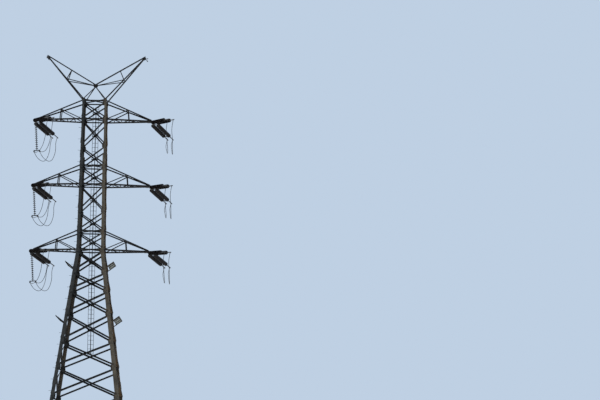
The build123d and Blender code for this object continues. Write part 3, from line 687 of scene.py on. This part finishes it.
def gusset_bolts(piece, side, level, above, below, size):
    """Bolts of one level, clear of the outer bars: down on the right, up on the left."""
    for way in (-1, 1):
        for rise, share in gusset_rows:
            height = level - way * rise
            if height > level + above or height < level - below:
                continue
            inset = leg_flange(height) * share
            normal = face_normal(side, height)
            bolt(piece, face_point(side, height, way * (half_width(height) - inset)), normal,
                 leg_plate + gusset_plate, size)


for side, side_name in enumerate(side_names):
    bolts = Piece()
    for low, high in lower_panels:
        panel_bolts(bolts, side, low, high, lower_spots, lower_bolt)
    for level, above, below in lower_gussets:
        gusset_bolts(bolts, side, level, above, below, lower_bolt)
    bolts.finish(f"lower_bolts_{side_name}", "fitting_steel")
    bolts = Piece()
    for low, high in cage_panels:
        panel_bolts(bolts, side, low, high, cage_spots, cage_bolt)
    for level, above, below in cage_gussets:
        gusset_bolts(bolts, side, level, above, below, cage_bolt)
    for level in belt_levels:
        reach = half_width(level) - inner_bar_inset
        for way in (-1, 1):
            for spot in belt_spots:
                place = face_point(side, level, way * (reach - spot))
                lift = head_lift(level, inner_bar_inset + spot)
                bolt(bolts, place + side_out[side] * lift, side_out[side],
                     leg_plate + gusset_plate + bar_plate + lift, cage_bolt)
    bolts.finish(f"cage_bolts_{side_name}", "fitting_steel")


# Step bolts up the two left legs, on alternate flanges

first_step = 2.6
step_pitch = 0.40
for name in ("front_left", "back_left"):
    side_x, side_y = corners[name]
    steps = Piece()
    height = first_step
    number = 0
    while height < cage_top - 0.2:
        wide = half_width(height)
        inset = leg_flange(height) * 0.45
        normal = Vector((side_x, 0, 0)) if number % 2 else Vector((0, side_y, 0))
        if number % 2:
            seat = Vector((side_x * wide, side_y * (wide - inset), height))
        else:
            seat = Vector((side_x * (wide - inset), side_y * wide, height))
        steps.turned(seat, normal, [(0, 0.017), (0.014, 0.017)], 6)
        steps.turned(seat, normal, [(0.014, 0.009), (0.165, 0.009)], 8)
        steps.turned(seat, normal, [(0.165, 0.018), (0.176, 0.018)], 8)
        steps.turned(seat - normal * leg_plate, -normal, [(0, 0.017), (0.014, 0.017)], 6)
        height += step_pitch
        number += 1
    steps.finish(f"step_bolts_{name}", "fitting_steel")


# Crossarm joints: root plates on the legs and bolts at the posts, braces and tips

root_inset = 0.080
tip_half = 0.110
post_share = 0.475
root_plate = 0.012
root_plate_width = 0.150
for hand, side_x in hands.items():
    side = 1 if side_x == 1 else 3
    for arm_name, level in zip(arm_names, arm_levels):
        bolts = Piece()
        plates = Piece()
        for side_y in (-1, 1):
            low_root = face_point(side, level, 0)
            low_root.y = side_y * (half_width(level) - root_inset)
            top_root = face_point(side, level + arm_depth, 0)
            top_root.y = side_y * (half_width(level + arm_depth) - root_inset)
            low_tip = Vector((side_x * (arm_reach - 0.060), side_y * tip_half, level))
            top_tip = Vector((side_x * (arm_reach - 0.180), side_y * tip_half, level + 0.055))
            out = (low_tip - low_root).cross(top_root - low_root).normalized()
            if out.y * side_y < 0:
                out = -out
            post_foot = low_root.lerp(low_tip, post_share)
            post_head = top_root.lerp(top_tip, post_share)
            post = (post_head - post_foot).normalized()
            brace = (post_head - low_root).normalized()
            top_run = (top_tip - top_root).normalized()
            low_run = (low_tip - low_root).normalized()
            spots = [post_foot + post * 0.012, post_foot + post * 0.040, low_root + brace * 0.05,
                     post_head - top_run * 0.035, post_head + top_run * 0.035,
                     low_tip - low_run * 0.06, low_tip - low_run * 0.14,
                     top_tip - top_run * 0.08, top_tip - top_run * 0.16]
            for spot in spots:
                bolt(bolts, spot + out * 0.050, out, 0.017, cage_bolt)
            face = face_normal(side, level + 0.5)
            along = Vector((0, 1, 0))
            for root, tall in ((low_root, 0.24), (top_root, 0.22)):
                up = face.cross(along)
                if up.z < 0:
                    up = -up
                plates.box(root + face * (root_plate / 2), along, up, face,
                           (root_plate_width, tall, root_plate))
                for x in (-0.050, 0.050):
                    for z in (-1, 1):
                        place = (root + along * x + up * (z * (tall / 2 - 0.028))
                                 + face * root_plate)
                        bolt(bolts, place, face, root_plate + leg_plate, cage_bolt)
        for azimuth, droop in pulls:
            anchor, pull, across, up = set_frame(side_x, level, azimuth, droop)
            bolt(bolts, anchor + pull * 0.030 + up * 0.010, up, 0.020, set_bolt)
            for way in (-half_twin, half_twin):
                for along in (string_start - 0.030, clamp_start - 0.115, clamp_start - 0.040):
                    bolt(bolts, anchor + pull * along + across * (way * 1.12) + up * 0.010, up,
                         0.020, small_bolt)
        plates.finish(f"root_plates_{hand}_{arm_name}", "arm_steel")
        bolts.finish(f"arm_bolts_{hand}_{arm_name}", "fitting_steel")


# Peak joints: bolts of the cap plates, the apex gussets and the horns

apex = Vector((0, 0, cage_top + 1.240))
top_spread = half_width(leg_top) - upper_flange / 2
cap_plate = 0.016
seat_level = leg_top + cap_plate
apex_plate = 0.012
horn_reach = 3.460
horn_rise = 3.285
horn_plate = 0.008
horn_bar = 0.080
horn_brace = 0.055
tip_plate = 0.020
tip_plate_outline = [(-0.230, -0.100), (0.010, -0.040), (0.040, -0.110), (-0.010, -0.185),
                     (-0.060, -0.215), (-0.230, -0.265)]
bolts = Piece()
for side_x, side_y in corners.values():
    for x, y in ((-0.078, -0.078), (-0.078, 0.078), (0.078, -0.078), (0.078, 0.078)):
        seat = Vector((side_x * top_spread + x, side_y * top_spread + y, seat_level))
        bolt(bolts, seat, upward, cap_plate, small_bolt)
for side_y in (-1, 1):
    normal = Vector((0, side_y, 0))
    for x, drop in ((-0.115, 0.020), (-0.060, 0.010), (0.060, 0.010), (0.115, 0.020),
                    (-0.090, 0.085), (0.090, 0.085), (-0.045, 0.150), (0.045, 0.150)):
        bolt(bolts, Vector((x, side_y * 0.116, apex.z - drop)), normal, apex_plate, small_bolt)
bolts.finish("peak_bolts", "fitting_steel")
for hand, side_x in hands.items():
    bolts = Piece()
    steel = Piece()
    tip = Vector((side_x * horn_reach, 0, cage_top + horn_rise))
    inside = (0, side_x * 0.008)
    upper_root = apex - upward * 0.020
    upper_middle = upper_root.lerp(tip, 0.495)
    bar(steel, upper_root, tip, upward, horn_bar, lift=-horn_plate, thick=horn_plate, trim=inside)
    lower_chords = []
    for side_y in (-1, 1):
        out = Vector((0, side_y, 0))
        root = Vector((side_x * (top_spread + 0.040), side_y * (top_spread + 0.040), seat_level))
        end = tip + Vector((-side_x * 0.060, side_y * 0.025, -0.060))
        bar(steel, root.lerp(end, -0.04), end, out, horn_bar, lift=-0.040, inner=True,
            thick=horn_plate, trim=(2, seat_level))
        middle = root.lerp(end, 0.46)
        lower_chords.append((out, root, middle, (end - root).normalized()))
        bar(steel, apex - upward * 0.060 - out * 0.004, middle, out, horn_brace,
            thick=horn_plate, trim=inside)
        bar(steel, upper_middle - out * 0.004, middle, out, horn_brace, thick=horn_plate)
    bar(steel, lower_chords[0][2], lower_chords[1][2], upward, horn_brace, thick=horn_plate)
    plate(steel, tip + Vector((0, tip_plate / 2, 0)), Vector((side_x, 0, 0)), upward,
          Vector((0, -1, 0)), tip_plate_outline, tip_plate)
    steel.finish(f"horn_steel_{hand}", slots[f"horn_{hand}"], [f"horn_{hand}"])
    for x, drop in ((-0.200, 0.130), (-0.150, 0.108), (-0.200, 0.225), (-0.150, 0.190),
                    (-0.070, 0.090), (-0.080, 0.165), (0.000, 0.150)):
        seat = tip + Vector((side_x * x, -tip_plate / 2, -drop))
        bolt(bolts, seat, Vector((0, -1, 0)), tip_plate, small_bolt)
    for out, root, middle, run in lower_chords:
        for spot in (middle - run * 0.032, middle + run * 0.032, root + run * 0.060,
                     root + run * 0.125):
            bolt(bolts, spot + out * 0.040, out, horn_plate, horn_bolt)
    bolts.finish(f"horn_bolts_{hand}", "fitting_steel")


# Jumpers

jumper_routes = {
    ("left", "outer"): (8.63, [
        (1.5406, -3.1441, -0.4965), (1.468, -2.971, -0.849), (1.420, -2.790, -1.220),
        (1.360, -2.560, -1.560), (1.280, -2.270, -1.860), (1.170, -1.950, -2.090),
        (1.040, -1.580, -2.250), (0.910, -1.200, -2.340), (0.740, -0.830, -2.390),
        (0.540, -0.470, -2.350), (0.389, -0.115, -2.238), (0.389, 0.115, -2.238),
        (0.470, 0.490, -2.450), (0.630, 0.850, -2.620), (0.800, 1.250, -2.700),
        (0.940, 1.660, -2.680), (1.080, 2.030, -2.520), (1.160, 2.360, -2.240),
        (1.230, 2.610, -1.890), (1.240, 2.820, -1.510), (1.196, 3.007, -1.125),
        (1.2632, 3.2148, -0.7903),
    ]),
    ("left", "inner"): (8.83, [
        (1.1716, -3.2983, -0.4965), (1.099, -3.125, -0.849), (1.050, -2.920, -1.220),
        (0.990, -2.670, -1.570), (0.900, -2.370, -1.860), (0.780, -2.040, -2.100),
        (0.640, -1.660, -2.270), (0.490, -1.270, -2.370), (0.320, -0.880, -2.420),
        (0.140, -0.490, -2.400), (-0.010, -0.115, -2.266), (-0.010, 0.115, -2.266),
        (0.080, 0.470, -2.480), (0.230, 0.850, -2.650), (0.390, 1.260, -2.720),
        (0.540, 1.680, -2.680), (0.650, 2.060, -2.500), (0.730, 2.400, -2.230),
        (0.800, 2.680, -1.880), (0.820, 2.910, -1.510), (0.816, 3.130, -1.125),
        (0.8824, 3.3373, -0.7903),
    ]),
    ("right", "outer"): (7.44, [
        (1.4406, -3.1441, -0.4965), (1.368, -2.971, -0.849), (1.360, -2.690, -1.180),
        (1.390, -2.330, -1.450), (1.390, -1.960, -1.680), (1.380, -1.550, -1.860),
        (1.370, -1.130, -2.000), (1.360, -0.690, -2.090), (1.350, -0.250, -2.140),
        (1.330, 0.190, -2.160), (1.320, 0.640, -2.150), (1.290, 1.080, -2.110),
        (1.260, 1.520, -2.030), (1.220, 1.940, -1.890), (1.180, 2.320, -1.670),
        (1.140, 2.680, -1.410), (1.096, 3.007, -1.125), (1.1632, 3.2148, -0.7903),
    ]),
    ("right", "inner"): (7.64, [
        (1.0716, -3.2983, -0.4965), (0.999, -3.125, -0.849), (0.980, -2.830, -1.190),
        (1.020, -2.460, -1.450), (1.020, -2.050, -1.670), (1.020, -1.620, -1.840),
        (1.030, -1.180, -1.950), (1.020, -0.730, -2.030), (1.010, -0.270, -2.070),
        (0.990, 0.190, -2.090), (0.970, 0.640, -2.080), (0.940, 1.090, -2.040),
        (0.900, 1.540, -1.970), (0.860, 1.980, -1.850), (0.820, 2.390, -1.650),
        (0.750, 2.780, -1.410), (0.716, 3.130, -1.125), (0.7824, 3.3373, -0.7903),
    ]),
}
for (hand, place), (length, route) in jumper_routes.items():
    for arm_name, level in zip(arm_names, arm_levels):
        name = f"jumper_{hand}_{arm_name}_{place}"
        curve = bpy.data.curves.new(name + "_wire", "CURVE")
        curve.dimensions = "3D"
        curve.bevel_depth = 0.017
        curve.bevel_resolution = 3
        curve.use_fill_caps = True
        curve.resolution_u = 6
        line = curve.splines.new("NURBS")
        line.points.add(len(route) - 1)
        tip = Vector((hands[hand] * arm_reach, 0, level))
        for point, step in zip(line.points, route):
            point.co = (*(tip + Vector(step)), 1.0)
        line.order_u = 3
        line.use_endpoint_u = True
        curve.materials.append(materials["jumper_wire"])
        wire = bpy.data.objects.new(name + "_wire", curve)
        scene.collection.objects.link(wire)
        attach(wire, "root")
        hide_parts(name)


# Floor, light, background

floor_mesh = bpy.data.meshes.new("floor")
floor_half = 600.0
floor_mesh.from_pydata([(x * floor_half, y * floor_half, 0)
                        for x, y in ((-1, -1), (1, -1), (1, 1), (-1, 1))], [], [(0, 1, 2, 3)])
floor = bpy.data.objects.new("floor", floor_mesh)
scene.collection.objects.link(floor)
floor_mat, tree, shader = new_material("floor", (0.62, 0.63, 0.64), 0.9, 0.0, 0.2)
floor_mesh.materials.append(floor_mat)

world = bpy.data.worlds.new("sky")
scene.world = world
world.use_nodes = True
tree = world.node_tree
out = tree.nodes["World Output"]
lit = tree.nodes["Background"]
lit.inputs["Color"].default_value = (0.80, 0.86, 0.95, 1)
lit.inputs["Strength"].default_value = 0.75
seen = node(tree, "ShaderNodeBackground")
seen.inputs["Color"].default_value = (0.52, 0.63, 0.77, 1)
seen.inputs["Strength"].default_value = 1.0
path = node(tree, "ShaderNodeLightPath")
first = node(tree, "ShaderNodeMath", operation="MAXIMUM")
second = node(tree, "ShaderNodeMath", operation="MAXIMUM")
mix = node(tree, "ShaderNodeMixShader")
tree.links.new(path.outputs["Is Camera Ray"], first.inputs[0])
tree.links.new(path.outputs["Is Glossy Ray"], first.inputs[1])
tree.links.new(first.outputs[0], second.inputs[0])
tree.links.new(path.outputs["Is Transmission Ray"], second.inputs[1])
tree.links.new(second.outputs[0], mix.inputs["Fac"])
tree.links.new(lit.outputs[0], mix.inputs[1])
tree.links.new(seen.outputs[0], mix.inputs[2])
tree.links.new(mix.outputs[0], out.inputs["Surface"])

sun_data = bpy.data.lights.new("sun", "SUN")
sun_data.energy = 2.2
sun_data.angle = math.radians(12)
sun_data.color = (1.0, 0.93, 0.82)
sun = bpy.data.objects.new("sun", sun_data)
sun.rotation_euler = (math.radians(48), 0, math.radians(-120))
scene.collection.objects.link(sun)
